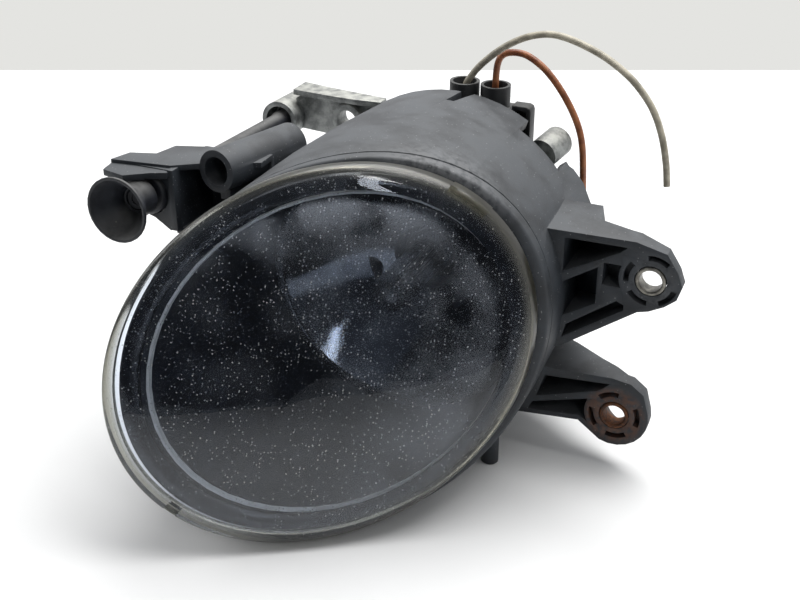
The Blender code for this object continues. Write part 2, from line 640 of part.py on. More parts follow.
def bulb_glass():
    outer = [(0, 85.4), (6.0, 85.4), (6.0, 48), (5.2, 44.6), (3.0, 42.4), (0, 41.6)]
    inner = [(0, 43.0), (2.6, 43.6), (4.2, 45.4), (4.9, 48.6), (4.9, 76), (3.4, 78), (0, 78)]
    glass = turned(outer, CENTRE, BACK, 20)
    hollow = turned(inner, CENTRE, BACK, 20)
    vent = cylinder((AXIS_X, 76, AXIS_Z), (AXIS_X, 90, AXIS_Z), 0.5, 8)
    glass = cut(glass, joined(hollow, vent))
    return finish(glass, "bulb_glass", "quartz_glass", "bulb")


def filament():
    """Coil on its two supports, as one plain bar with legs."""
    bar = cylinder((AXIS_X, 55, AXIS_Z), (AXIS_X, 61, AXIS_Z), 0.9, 12)
    legs = [cylinder((AXIS_X, 55.6, AXIS_Z), (AXIS_X, 55.6, AXIS_Z + 2.6), 0.4, 8),
            cylinder((AXIS_X, 54.9, AXIS_Z + 2.4), (AXIS_X, 77.4, AXIS_Z + 2.4), 0.5, 8),
            cylinder((AXIS_X, 60.4, AXIS_Z), (AXIS_X, 60.4, AXIS_Z - 2.6), 0.4, 8),
            cylinder((AXIS_X, 59.7, AXIS_Z - 2.4), (AXIS_X, 77.4, AXIS_Z - 2.4), 0.5, 8)]
    return finish(joined(bar, *legs), "filament", "tungsten", "bulb")


def bulb_seal():
    ring = turned([(12.6, 92.8), (12.6, COLLAR_END + GAP), (10.4, COLLAR_END + 0.9), (10.4, 92.8)],
                  CENTRE, BACK, 40)
    return finish(ring, "bulb_seal", "rubber", "bulb")


def bulb_terminals():
    for name, offset in (("bulb_terminal_left", -4), ("bulb_terminal_right", 4)):
        x = PLUG_X + offset
        finish(block((x - 1.2, 105.6, -4), (x + 1.2, 106.4, 12)), name, "copper_alloy", "bulb")


# ---- plug, its lock and the wires

def tube_x(side):
    return PLUG_X + side * TUBE_PITCH / 2


def connector_housing():
    low = block((-2.3, 99.9, 4), (14.8, 111.3, 24))
    collar = block((-4.4, 99.7, 21.6), (16.9, 113.4, 27))
    tubes = [cylinder((tube_x(side), PLUG_Y, 26), (tube_x(side), PLUG_Y, PLUG_TOP), TUBE_R, 32)
             for side in (-1, 1)]
    shelf = block((-2.6, 102.6, 26), (17.0, 110, 41))
    guide = block((14, 101, 24.6), (24.8, 105.4, 27.7))
    low = joined(low, collar, shelf, guide, *tubes)
    bores = [cylinder((tube_x(side), PLUG_Y, PLUG_TOP - 9), (tube_x(side), PLUG_Y, PLUG_TOP + 2),
                      TUBE_R - 1.0, 28) for side in (-1, 1)]
    ways = [cylinder((tube_x(side), PLUG_Y, 17), (tube_x(side), PLUG_Y, PLUG_TOP), 1.7, 16)
            for side in (-1, 1)]
    slots = [block((PLUG_X + dx - 1.6, 104.6, 2), (PLUG_X + dx + 1.6, 107.4, 20)) for dx in (-4, 4)]
    low = cut(low, *bores, *ways, *slots)
    return finish(low, "connector_housing", "socket_plastic", "connector")


def wire_seal(name, side):
    top = PLUG_TOP - 5.2
    outer, inner = TUBE_R - 1.0 - GAP, WIRE_R + GAP
    profile = [(outer, top - 3.4), (outer - 0.5, top - 2.9), (outer, top - 2.4), (outer, top - 1.0),
               (outer - 0.5, top - 0.5), (inner + 0.8, top), (inner, top), (inner, top - 3.4)]
    seal = turned(profile, (tube_x(side), PLUG_Y, 0), (0, 0, 1), 16)
    return finish(seal, name, "rubber", "connector")


def connector_lock():
    """Sprung latch beside the plug's tubes, pressed towards them to release it."""
    outer = [(18.8, 28), (18.8, 43.4), (23.6, 43.4), (24.7, 42.9), (25.1, 41.8), (25.1, 28)]
    frame = prism(outer, "Y", 100.6, 105.6)
    window = prism([(20.3, 26), (20.3, 41.8), (23.0, 41.8), (23.6, 41.2), (23.6, 26)], "Y", 99, 104.2)
    frame = cut(frame, window)
    return finish(frame, "connector_lock", "socket_plastic", "lock")


def plug_terminals():
    for name, side in (("plug_terminal_left", -1), ("plug_terminal_right", 1)):
        pin = cylinder((tube_x(side), PLUG_Y, 24), (tube_x(side), PLUG_Y, 37.6), 1.2, 12)
        finish(pin, name, "copper_alloy", "connector")


WHITE_ROUTE = [(tube_x(-1), 106, 38.2), (tube_x(-1), 106, 42.6), (1.2, 106, 46), (3.4, 105.7, 49.8),
               (7.0, 104.8, 54.2), (12.7, 103.4, 59.4), (18.4, 103.4, 63.2), (24.0, 103.7, 65.5),
               (29.8, 104.2, 66.3), (36.4, 104.4, 65.1), (44.5, 104.4, 62.1), (50.6, 104.2, 58.8),
               (56.7, 103.9, 54.2), (62.3, 103.7, 47.5), (66.0, 103.5, 39.6), (68.3, 103.2, 31.0),
               (69.4, 103, 23.5)]
BROWN_ROUTE = [(tube_x(1), 106, 38.2), (tube_x(1), 106, 42.6), (11.4, 106, 48), (11.7, 106.5, 54.3),
               (13.3, 107, 57.4), (17.2, 107, 58.5), (22.0, 106.6, 57.8), (28.0, 106.2, 54.0),
               (33.8, 106, 47.4), (38.6, 106, 39.2), (41.0, 106, 31.4), (42.1, 106, 19.6),
               (42.4, 106, 9), (41.8, 106, -1)]


def wires():
    finish(wire("wire_white", WHITE_ROUTE, WIRE_R), "wire_white", "white_insulation", "connector")
    finish(wire("wire_brown", BROWN_ROUTE, WIRE_R), "wire_brown", "brown_insulation", "connector")


def build():
    clear_scene()
    add_body("housing", ORIGIN)
    add_body("screw_swing", along_screw(BEARING_AT), "housing")
    add_body("screw_turn", along_screw(BEARING_AT), "screw_swing")
    add_body("nut", along_screw(NUT_AT), "screw_swing")
    add_body("optical_unit", (AXIS_X, PIVOT_Y, PIVOT_Z), "housing")
    add_body("bulb", CENTRE, "optical_unit")
    add_body("connector", (PLUG_X, PLUG_Y, 0), "bulb")
    add_body("lock", (20, PLUG_Y, 35), "connector")
    housing()
    front_ring()
    ear_sleeve("ear_sleeve_upper", UPPER_EAR, "steel")
    ear_sleeve("ear_sleeve_lower", LOWER_EAR, "rusted_steel")
    pivot_pin("pivot_pin_left", -1)
    pivot_pin("pivot_pin_right", 1)
    adjuster_bearing()
    adjuster_clip()
    adjuster_funnel()
    adjuster_rod()
    adjuster_nut()
    reflector()
    carrier()
    carrier_screws()
    pivot_bush("pivot_bush_left", -1)
    pivot_bush("pivot_bush_right", 1)
    lens()
    lens_gasket()
    trim_ring()
    vent_cap()
    bulb_base()
    bulb_glass()
    filament()
    bulb_seal()
    bulb_terminals()
    connector_housing()
    wire_seal("wire_seal_left", -1)
    wire_seal("wire_seal_right", 1)
    plug_terminals()
    connector_lock()
    wires()


build()
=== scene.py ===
import json
import math

import bpy
from mathutils import Matrix, Vector


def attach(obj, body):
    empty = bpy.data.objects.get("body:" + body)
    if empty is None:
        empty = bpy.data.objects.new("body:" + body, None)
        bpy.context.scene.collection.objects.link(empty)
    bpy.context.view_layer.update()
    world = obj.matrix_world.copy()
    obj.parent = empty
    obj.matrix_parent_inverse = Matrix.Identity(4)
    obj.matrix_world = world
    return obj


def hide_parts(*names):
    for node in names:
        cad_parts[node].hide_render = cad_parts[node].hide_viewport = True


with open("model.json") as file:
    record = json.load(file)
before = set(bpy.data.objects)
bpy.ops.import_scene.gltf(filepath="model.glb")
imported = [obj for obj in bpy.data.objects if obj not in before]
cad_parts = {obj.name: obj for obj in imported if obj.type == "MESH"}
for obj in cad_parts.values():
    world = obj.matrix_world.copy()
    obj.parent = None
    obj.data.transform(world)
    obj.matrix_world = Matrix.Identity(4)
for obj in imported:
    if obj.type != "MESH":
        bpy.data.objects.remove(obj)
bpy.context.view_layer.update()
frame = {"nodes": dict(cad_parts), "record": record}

mm = 0.001
print("frame loaded")

# places below are in mm from the middle of the lens rim; place() turns them to the frame's metres
rimCentre = Vector((4.75, 41.7, -51.9))
rake = {"x": 0.607, "z": 0.34}                    # the front plane leans back by these per mm
axis = Vector((1.0, 0.0, -0.8))                   # optical axis, along Y
screwFront = Vector((-64.1, 4.9, 31.7))
screwRear = Vector((-63.4, 98.0, 27.9))


def place(point):
    return (Vector(point) - rimCentre) * mm


cameraSet = {"at": (0.12782, -0.29304, 0.2207), "yaw": 23.354, "pitch": 27.85, "lens": 54.99, "sensor": 36}


def addCamera(s):
    yaw, pitch = math.radians(s["yaw"]), math.radians(s["pitch"])
    right = Vector((math.cos(yaw), math.sin(yaw), 0))
    back = Vector((math.sin(yaw) * math.cos(pitch), -math.cos(yaw) * math.cos(pitch), math.sin(pitch)))
    up = back.cross(right)
    data = bpy.data.cameras.new("camera")
    data.lens, data.sensor_width, data.clip_start = s["lens"], s["sensor"], 0.01
    camera = bpy.data.objects.new("camera", data)
    bpy.context.scene.collection.objects.link(camera)
    turn = Matrix((right, up, back)).transposed().to_4x4()
    camera.matrix_world = Matrix.Translation(s["at"]) @ turn
    bpy.context.scene.camera = camera


addCamera(cameraSet)


def linear(code):
    values = [int(code[i:i + 2], 16) / 255 for i in (0, 2, 4)]
    return (*[v / 12.92 if v <= 0.04045 else ((v + 0.055) / 1.055) ** 2.4 for v in values], 1.0)


# scale of a noise whose pattern is this many mm wide, on coordinates in metres
def perMm(size):
    return 1 / (size * mm)


# links sockets, and sets plain values straight on the inputs
def feed(tree, node, inputs):
    for key, value in inputs.items():
        if isinstance(value, bpy.types.NodeSocket):
            tree.links.new(value, node.inputs[key])
        else:
            node.inputs[key].default_value = value


# adds a node and gives back one of its outputs
def addNode(tree, kind, inputs, settings=None, give=0):
    made = tree.nodes.new("ShaderNode" + kind)
    for key, value in (settings or {}).items():
        setattr(made, key, value)
    feed(tree, made, inputs)
    return made.outputs[give]


smoothStep = {"interpolation_type": "SMOOTHSTEP"}
blend = {"data_type": "RGBA"}                     # a Mix node: factor is 0, colours 6 and 7, result 2
plus, minus, times, larger = ({"operation": name} for name in ("ADD", "SUBTRACT", "MULTIPLY", "MAXIMUM"))


def newMaterial(name):
    made = bpy.data.materials.new(name)
    made.use_nodes = True
    return made, made.node_tree, made.node_tree.nodes["Principled BSDF"]


# an opaque finish: two-tone mottle, scuffs, specks, dust on what faces up, and a fine grain
def surface(name, s):
    made, tree, shader = newMaterial(name)
    where = addNode(tree, "TexCoord", {}, give="Object")
    mottle = addNode(tree, "TexNoise", {"Vector": where, "Scale": perMm(s["mottleMm"]), "Detail": 5.0,
                                        "Roughness": 0.62})
    patch = addNode(tree, "MapRange", {0: mottle, 1: 0.36, 2: 0.66}, smoothStep)
    colour = addNode(tree, "Mix", {0: patch, 6: linear(s["dark"]), 7: linear(s["light"])}, blend, 2)
    drawn = addNode(tree, "Mapping", {"Vector": where, "Scale": s["scuffStretch"],
                                      "Rotation": s["scuffTurn"]})
    scuff = addNode(tree, "TexNoise", {"Vector": drawn, "Scale": perMm(s["scuffMm"]), "Detail": 6.0,
                                       "Roughness": 0.7})
    scuffed = addNode(tree, "MapRange", {0: scuff, 1: 0.62, 2: 0.78, 4: s["scuff"]}, smoothStep)
    colour = addNode(tree, "Mix", {0: scuffed, 6: colour, 7: linear(s["scuffColour"])}, blend, 2)
    speck = addNode(tree, "TexVoronoi", {"Vector": where, "Scale": perMm(s["speckMm"])}, give="Distance")
    gap = addNode(tree, "MapRange", {0: speck, 1: 0.06, 2: 0.2}, smoothStep)
    dot = addNode(tree, "Math", {0: 1.0, 1: gap}, minus)
    draw = addNode(tree, "SeparateColor", {0: speck.node.outputs["Color"]})
    chosen = addNode(tree, "MapRange", {0: draw, 1: 0.98 - s["specks"], 2: 1 - s["specks"]}, smoothStep)
    dot = addNode(tree, "Math", {0: dot, 1: chosen}, times)
    dot = addNode(tree, "Math", {0: dot, 1: s["speckCover"]}, times)
    colour = addNode(tree, "Mix", {0: dot, 6: colour, 7: linear(s["dustColour"])}, blend, 2)
    facing = addNode(tree, "SeparateXYZ", {0: addNode(tree, "NewGeometry", {}, give="Normal")}, give=2)
    dust = addNode(tree, "MapRange", {0: facing, 1: 0.15, 2: 0.95, 4: s["dust"]}, smoothStep)
    patch = addNode(tree, "MapRange", {0: mottle, 1: 0.3, 2: 0.6}, smoothStep)
    fade = addNode(tree, "MapRange", {0: facing, 1: 0.1, 2: 1.0, 4: s["fade"]}, smoothStep)
    settled = addNode(tree, "Math", {0: addNode(tree, "Math", {0: dust, 1: patch}, times), 1: fade}, plus)
    colour = addNode(tree, "Mix", {0: settled, 6: colour, 7: linear(s["dustColour"])}, blend, 2)
    rough = addNode(tree, "MapRange", {0: mottle, 1: 0.3, 2: 0.7, 3: s["rough"][0], 4: s["rough"][1]})
    dull = addNode(tree, "Math", {0: settled, 1: s["dustDulls"]}, times)
    rough = addNode(tree, "Math", {0: rough, 1: dull}, plus)
    grain = addNode(tree, "TexNoise", {"Vector": where, "Scale": perMm(s["grainMm"]), "Detail": 4.0,
                                       "Roughness": 0.6})
    bump = addNode(tree, "Bump", {"Strength": s["bump"], "Distance": s["grainMm"] * 0.25 * mm,
                                  "Height": grain})
    feed(tree, shader, {"Base Color": colour, "Roughness": rough, "Normal": bump, "Metallic": s["metallic"]})
    if not s["metallic"]:
        feed(tree, shader, {"IOR": s["ior"]})
    return made


plain = {"dark": "1B1C1E", "light": "26282A", "mottleMm": 9, "grainMm": 0.35, "bump": 0.35, "scuffMm": 3.0,
         "scuff": 0.25, "scuffColour": "77787A", "scuffStretch": (1, 1, 5), "scuffTurn": (0.5, 0.3, 0.8),
         "speckMm": 1.6, "specks": 0.04, "speckCover": 0.7, "dust": 0.1, "fade": 0.04, "dustColour": "9A9891",
         "dustDulls": 0.35, "rough": (0.42, 0.58), "metallic": 0.0, "ior": 1.5}

finishes = {
    # glass-filled polypropylene, moulded: grey fade and chalky dust on top, fine spark-eroded grain
    "housing_plastic": surface("mouldedPolypropylene", plain | {
        "dark": "1E2125", "light": "2B3036", "mottleMm": 14, "grainMm": 0.45, "bump": 0.5, "scuff": 0.5,
        "speckMm": 1.1, "specks": 0.3, "dust": 0.14, "fade": 0.06, "rough": (0.5, 0.66),
        "dustColour": "8E8F8F"}),
    # nylon, moulded: blacker and a little oily
    "black_plastic": surface("mouldedNylon", plain | {
        "dark": "1B1D22", "light": "2D3037", "mottleMm": 7, "dust": 0.14, "fade": 0.12, "scuff": 0.45}),
    # polybutylene plug body, satin
    "socket_plastic": surface("mouldedPolyester", plain | {
        "dark": "121315", "light": "1D1F21", "mottleMm": 5, "grainMm": 0.25, "scuff": 0.3, "fade": 0.06}),
    "bulb_base_plastic": surface("mouldedBulbBase", plain | {
        "dark": "24221F", "light": "33302C", "mottleMm": 5, "grainMm": 0.25}),
    # pressure die-cast aluminium, oxidised to a dirty light grey with white salts
    "die_cast": surface("dieCastAluminium", plain | {
        "dark": "6E7070", "light": "9EA19F", "mottleMm": 3.2, "grainMm": 0.5, "bump": 0.8, "scuffMm": 1.6,
        "scuff": 0.7, "scuffColour": "D6D6CF", "speckMm": 0.9, "specks": 0.16, "dust": 0.25, "fade": 0.1,
        "dustColour": "C9C6BA", "rough": (0.38, 0.62), "metallic": 0.65}),
    # zinc-plated steel, dulled
    "steel": surface("zincPlatedSteel", plain | {
        "dark": "5C5A55", "light": "8E8B83", "mottleMm": 2.0, "grainMm": 0.25, "scuffMm": 1.0, "scuff": 0.4,
        "scuffColour": "4A3A2B", "speckMm": 0.8, "specks": 0.1, "rough": (0.3, 0.5), "metallic": 0.85}),
    # the same sleeve where the plating has gone: brown rust, grainy
    "rusted_steel": surface("rustedSteel", plain | {
        "dark": "3B2417", "light": "7A4A2A", "mottleMm": 1.1, "grainMm": 0.4, "bump": 1.0, "scuffMm": 0.9,
        "scuff": 0.7, "scuffColour": "9A6238", "speckMm": 0.6, "specks": 0.15, "dustColour": "B0784A",
        "rough": (0.65, 0.85), "metallic": 0.15}),
    "rubber": surface("mouldedRubber", plain | {
        "dark": "0E0E0F", "light": "19191A", "mottleMm": 4, "grainMm": 0.3, "rough": (0.65, 0.8)}),
    "tungsten": surface("drawnTungsten", plain | {
        "dark": "77756F", "light": "B8B6B0", "mottleMm": 0.6, "grainMm": 0.1, "bump": 0.2, "scuff": 0.2,
        "scuffColour": "5B6270", "speckMm": 0.4, "dust": 0.0, "fade": 0.0, "rough": (0.3, 0.45),
        "metallic": 1.0}),
    "copper_alloy": surface("stampedTinnedBrass", plain | {
        "dark": "8A6632", "light": "C49A58", "mottleMm": 1.4, "grainMm": 0.2, "bump": 0.2, "scuffMm": 0.9,
        "scuffColour": "6A553A", "speckMm": 0.6, "dust": 0.05, "fade": 0.0, "rough": (0.25, 0.45),
        "metallic": 1.0}),
    # edge of the metal coat, painted near-white and barely metallic: a painted highlight for the light caught
    # along the bright rim
    "chrome_edge": surface("paintedHighlightEdge", plain | {
        "dark": "E6E3DA", "light": "FAF8F1", "mottleMm": 6, "grainMm": 0.4, "bump": 0.1, "scuffMm": 1.5,
        "scuff": 0.2, "scuffColour": "8B8880", "speckMm": 0.8, "specks": 0.05, "dust": 0.1, "fade": 0.0,
        "rough": (0.3, 0.42), "metallic": 0.12}),
    # thin PVC insulation, extruded: white gone grey, and brown
    "white_insulation": surface("extrudedWhitePvc", plain | {
        "dark": "857F70", "light": "B4AD9B", "mottleMm": 5, "grainMm": 0.4, "bump": 0.25, "scuffMm": 2.0,
        "scuff": 0.5, "scuffColour": "5E574A", "speckMm": 1.0, "specks": 0.08, "dust": 0.0, "fade": 0.0,
        "rough": (0.35, 0.5), "ior": 1.53}),
    "brown_insulation": surface("extrudedBrownPvc", plain | {
        "dark": "6E3A20", "light": "A0633A", "mottleMm": 5, "grainMm": 0.4, "bump": 0.25, "scuffMm": 2.0,
        "scuff": 0.4, "scuffColour": "C29A7A", "speckMm": 1.0, "specks": 0.06, "dust": 0.0, "fade": 0.0,
        "rough": (0.35, 0.5), "ior": 1.53}),
}
print("opaque materials made")

# the sheen values paint a pale grey over the top and right of the lens
lensSet = {"tint": "DFE6F1", "agedAndShaded": "8C8977", "dust": "A8A69D", "ior": 1.49, "rough": 0.02,
           "edgeRough": 0.26, "edgeFrom": 46.5, "edgeTo": 49.8, "edgeFilm": 0.05, "bloomMm": 16,
           "bloomFilm": 0.02, "sheenFrom": 40.5, "sheenTo": 43, "topSheen": 0.19, "rightSheen": 0.05,
           "speckMm": 0.8,
           "speckCover": 0.8, "scratchMm": 1.2}


# polycarbonate, injection moulded: clear, yellowed and dull at its edge, with blown sand on its front; a
# painted sheen towards the top and right, and its edge colour darkened as painted shade
def lensMaterial(s):
    made, tree, shader = newMaterial("agedPolycarbonateWithPaintedLight")
    where = addNode(tree, "TexCoord", {}, give="Object")
    spot = addNode(tree, "VectorMath", {0: where, 1: place((0, 0, 0))}, minus)
    flat = addNode(tree, "VectorMath", {0: spot, 1: (1, 0, 1)}, times)
    far = addNode(tree, "VectorMath", {0: flat}, {"operation": "LENGTH"}, "Value")
    edge = addNode(tree, "MapRange", {0: far, 1: s["edgeFrom"] * mm, 2: s["edgeTo"] * mm}, smoothStep)
    bloom = addNode(tree, "TexNoise", {"Vector": where, "Scale": perMm(s["bloomMm"]), "Detail": 5.0})

    # specks: a dot in some cells of a Voronoi, fewer where the lens was wiped
    speck = addNode(tree, "TexVoronoi", {"Vector": where, "Scale": perMm(s["speckMm"])}, give="Distance")
    gap = addNode(tree, "MapRange", {0: speck, 1: 0.12, 2: 0.3}, smoothStep)
    dot = addNode(tree, "Math", {0: 1.0, 1: gap}, minus)
    draw = addNode(tree, "SeparateColor", {0: speck.node.outputs["Color"]})
    chosen = addNode(tree, "MapRange", {0: draw, 1: 0.55, 2: 1.0}, smoothStep)
    worn = addNode(tree, "MapRange", {0: bloom, 1: 0.22, 2: 0.55, 4: s["speckCover"]}, smoothStep)
    pit = addNode(tree, "Math", {0: addNode(tree, "Math", {0: dot, 1: chosen}, times), 1: worn}, times)

    # painted sheen: a grey film towards the top and the right, inside the flange only, standing in for light
    # on the lens there
    across = addNode(tree, "SeparateXYZ", {0: spot})
    topSheenMask = addNode(tree, "MapRange", {0: across.node.outputs[2], 1: 22 * mm, 2: 44 * mm, 4: s["topSheen"]},
                   smoothStep)
    right = addNode(tree, "MapRange", {0: across, 1: 2 * mm, 2: 34 * mm, 4: s["rightSheen"]}, smoothStep)
    patch = addNode(tree, "MapRange", {0: bloom, 1: 0.32, 2: 0.6}, smoothStep)
    flange = addNode(tree, "MapRange", {0: far, 1: s["sheenFrom"] * mm, 2: s["sheenTo"] * mm}, smoothStep)
    wiped = addNode(tree, "Math", {0: patch, 1: flange}, minus)
    dustHazeAndSheen = addNode(tree, "Math", {0: addNode(tree, "Math", {0: topSheenMask, 1: right}, larger), 1: wiped}, times)
    dustHazeAndSheen = addNode(tree, "Math", {0: dustHazeAndSheen, 1: addNode(tree, "Math", {0: 1.0, 1: edge}, minus)}, times)
    dustHazeAndSheen = addNode(tree, "Math", {0: dustHazeAndSheen, 1: 0.0}, larger)

    haze = addNode(tree, "MapRange", {0: bloom, 1: 0.4, 2: 0.75, 4: s["bloomFilm"]}, smoothStep)
    yellowed = addNode(tree, "Math", {0: edge, 1: s["edgeFilm"]}, times)
    haze = addNode(tree, "Math", {0: haze, 1: yellowed}, plus)
    dustHazeAndSheen = addNode(tree, "Math", {0: addNode(tree, "Math", {0: pit, 1: haze}, plus), 1: dustHazeAndSheen}, plus)
    # the yellowed edge colour is also darkened as painted shade, for the dark housing behind the bead
    colour = addNode(tree, "Mix", {0: edge, 6: linear(s["tint"]), 7: linear(s["agedAndShaded"])}, blend, 2)
    colour = addNode(tree, "Mix", {0: pit, 6: colour, 7: linear(s["dust"])}, blend, 2)
    dull = addNode(tree, "Math", {0: edge, 1: s["edgeRough"]}, times)
    scratch = addNode(tree, "TexNoise", {"Vector": where, "Scale": perMm(s["scratchMm"]), "Detail": 5.0})
    bump = addNode(tree, "Bump", {"Strength": 0.02, "Distance": 0.02 * mm, "Height": scratch})
    clear = addNode(tree, "Math", {0: 1.0, 1: dustHazeAndSheen}, minus)
    rough = addNode(tree, "Math", {0: dull, 1: s["rough"]}, plus)
    feed(tree, shader, {"Base Color": colour, "Transmission Weight": clear, "Roughness": rough,
                        "IOR": s["ior"], "Normal": bump})
    return made


# these greys are painted shade, far darker than bright metal
shadedMirrorSet = {"dark": "4E5156", "light": "7C7E80", "dust": "A7A49B", "cloudMm": 12, "gritMm": 0.5,
             "rough": 0.06, "clouded": 0.22}


# vacuum-metallised thermoset: a dull mirror, its colour kept dark grey as painted shade for the dim inside of
# the lamp, clouded and gritty after years of heat
def shadedMirrorMaterial(s):
    made, tree, shader = newMaterial("shadedMetallisedThermoset")
    where = addNode(tree, "TexCoord", {}, give="Object")
    cloud = addNode(tree, "TexNoise", {"Vector": where, "Scale": perMm(s["cloudMm"]), "Detail": 6.0,
                                       "Roughness": 0.65})
    sand = addNode(tree, "TexNoise", {"Vector": where, "Scale": perMm(s["gritMm"]), "Detail": 3.0})
    grain = addNode(tree, "MapRange", {0: sand, 1: 0.6, 2: 0.72}, smoothStep)
    patch = addNode(tree, "MapRange", {0: cloud, 1: 0.35, 2: 0.65, 4: 0.5}, smoothStep)
    grit = addNode(tree, "Math", {0: grain, 1: patch}, times)
    tone = addNode(tree, "MapRange", {0: cloud, 1: 0.35, 2: 0.68}, smoothStep)
    colour = addNode(tree, "Mix", {0: tone, 6: linear(s["dark"]), 7: linear(s["light"])}, blend, 2)
    colour = addNode(tree, "Mix", {0: grit, 6: colour, 7: linear(s["dust"])}, blend, 2)
    rough = addNode(tree, "MapRange", {0: cloud, 1: 0.3, 2: 0.75, 3: s["rough"], 4: s["clouded"]},
                    smoothStep)
    rough = addNode(tree, "Math", {0: rough, 1: addNode(tree, "Math", {0: grit, 1: 0.4}, times)}, plus)
    bare = addNode(tree, "Math", {0: 1.0, 1: addNode(tree, "Math", {0: grit, 1: 0.8}, times)}, minus)
    feed(tree, shader, {"Base Color": colour, "Roughness": rough, "Metallic": bare})
    return made


quartzSet = {"clear": "F1F3F3", "smoked": "B9B6B0", "smokeMm": 6, "ior": 1.46}


# quartz tube, drawn: clear, faintly smoked by its filament
def quartzMaterial(s):
    made, tree, shader = newMaterial("drawnQuartz")
    where = addNode(tree, "TexCoord", {}, give="Object")
    smoke = addNode(tree, "TexNoise", {"Vector": where, "Scale": perMm(s["smokeMm"]), "Detail": 4.0})
    tone = addNode(tree, "MapRange", {0: smoke, 1: 0.4, 2: 0.7}, smoothStep)
    colour = addNode(tree, "Mix", {0: tone, 6: linear(s["clear"]), 7: linear(s["smoked"])}, blend, 2)
    rough = addNode(tree, "MapRange", {0: smoke, 1: 0.45, 2: 0.8, 4: 0.08}, smoothStep)
    feed(tree, shader, {"Base Color": colour, "Transmission Weight": 1.0, "IOR": s["ior"],
                        "Roughness": rough})
    return made


finishes["clear_lens"] = lensMaterial(lensSet)
finishes["mirror_coat"] = shadedMirrorMaterial(shadedMirrorSet)
finishes["quartz_glass"] = quartzMaterial(quartzSet)

# butyl adhesive under the lens's flange, pressed: black and wet-looking
gum = surface("pressedButyl", plain | {
    "dark": "07090D", "light": "10131A", "mottleMm": 8, "grainMm": 1.2, "bump": 0.12, "scuff": 0.1,
    "speckMm": 1.1, "dust": 0.02, "fade": 0.0, "rough": (0.14, 0.24)})
# the reflector's thermoset where it was masked from the metal: glossy blue-black with settled grit
skirt = surface("maskedThermoset", plain | {
    "dark": "0B0F17", "light": "151B26", "mottleMm": 10, "grainMm": 0.8, "bump": 0.1, "scuff": 0.1,
    "scuffMm": 6, "scuffColour": "3B4049", "speckMm": 0.7, "specks": 0.35, "dust": 0.05, "fade": 0.0,
    "dustColour": "83868C", "rough": (0.3, 0.42)})
print("glass and mirror made")

stains = [
    # rust run onto the lower ear's boss, grime round the upper one, chalk on the shoulder
    {"on": "housing_plastic", "at": (69.1, 58, -33.8), "to": 7.5, "from": 10.5,
     "colour": "5A3B2A", "amount": 0.8},
    {"on": "housing_plastic", "at": (75.8, 58, 12.7), "to": 4, "from": 10,
     "colour": "55575A", "amount": 0.4},
    {"on": "housing_plastic", "at": (24, 30, 42), "to": 8, "from": 26,
     "colour": "8A8B8C", "amount": 0.35}]


# a stain round a place on a moulding, full at "to" mm and gone at "from" mm, with a ragged edge
def addStain(s):
    tree = finishes[s["on"]].node_tree
    base = tree.nodes["Principled BSDF"].inputs["Base Color"]
    where = addNode(tree, "TexCoord", {}, give="Object")
    away = addNode(tree, "VectorMath", {0: where, 1: place(s["at"])}, {"operation": "DISTANCE"}, "Value")
    gone = addNode(tree, "MapRange", {0: away, 1: s["to"] * mm, 2: s["from"] * mm, 4: s["amount"]},
                   smoothStep)
    near = addNode(tree, "Math", {0: s["amount"], 1: gone}, minus)
    noise = addNode(tree, "TexNoise", {"Vector": where, "Scale": perMm(1.8), "Detail": 5.0})
    ragged = addNode(tree, "MapRange", {0: noise, 1: 0.3, 2: 0.6}, smoothStep)
    amount = addNode(tree, "Math", {0: near, 1: ragged}, times)
    clean = base.links[0].from_socket
    stained = addNode(tree, "Mix", {0: amount, 6: clean, 7: linear(s["colour"])}, blend, 2)
    tree.links.new(stained, base)


for stain in stains:
    addStain(stain)

slotOf = {part["node"]: part["material_slot"] for part in frame["record"]["subparts"]}
bodyOf = {node: body for body, nodes in frame["record"]["behaviour"]["bodies"].items() for node in nodes}


def only(piece):
    bpy.ops.object.select_all(action="DESELECT")
    piece.select_set(True)
    bpy.context.view_layer.objects.active = piece


def smooth(piece, angle=32):
    only(piece)
    bpy.ops.object.shade_smooth_by_angle(angle=math.radians(angle))


def paint(piece, made):
    piece.data.materials.clear()
    piece.data.materials.append(made)


# gives a piece its body, and hides the nodes that it stands for
def finish(piece, body, slot, *nodes):
    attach(piece, body)
    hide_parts(*nodes)


softSet = {"weldMm": 0.005, "flatWithin": 1.5, "cornerFrom": 38, "segments": 2, "smooth": 40,
           # node: mm of rounding on its edges
           "edgeMm": {"housing": 0.35, "cast_carrier": 0.45, "connector_housing": 0.3, "connector_lock": 0.3,
                      "bulb_base": 0.3, "adjuster_funnel": 0.25, "adjuster_bearing": 0.25,
                      "ear_sleeve_upper": 0.2, "ear_sleeve_lower": 0.2}}


# a CAD node's own shape, welded, with its flat faces whole again and its edges rounded
def softCopy(node, edge, s):
    piece = bpy.data.objects.new(node + "Soft", frame["nodes"][node].data.copy())
    bpy.context.scene.collection.objects.link(piece)
    only(piece)
    bpy.ops.object.mode_set(mode="EDIT")
    bpy.ops.mesh.select_all(action="SELECT")
    bpy.ops.mesh.remove_doubles(threshold=s["weldMm"] * mm)
    bpy.ops.mesh.dissolve_limited(angle_limit=math.radians(s["flatWithin"]))
    bpy.ops.object.mode_set(mode="OBJECT")
    bevel = piece.modifiers.new("edge", "BEVEL")
    bevel.width, bevel.segments, bevel.limit_method = edge * mm, s["segments"], "ANGLE"
    bevel.angle_limit, bevel.use_clamp_overlap = math.radians(s["cornerFrom"]), True
    bevel.miter_outer = "MITER_ARC"
    bpy.ops.object.modifier_apply(modifier=bevel.name)
    smooth(piece, s["smooth"])
    paint(piece, finishes[slotOf[node]])
    finish(piece, bodyOf[node], slotOf[node], node)


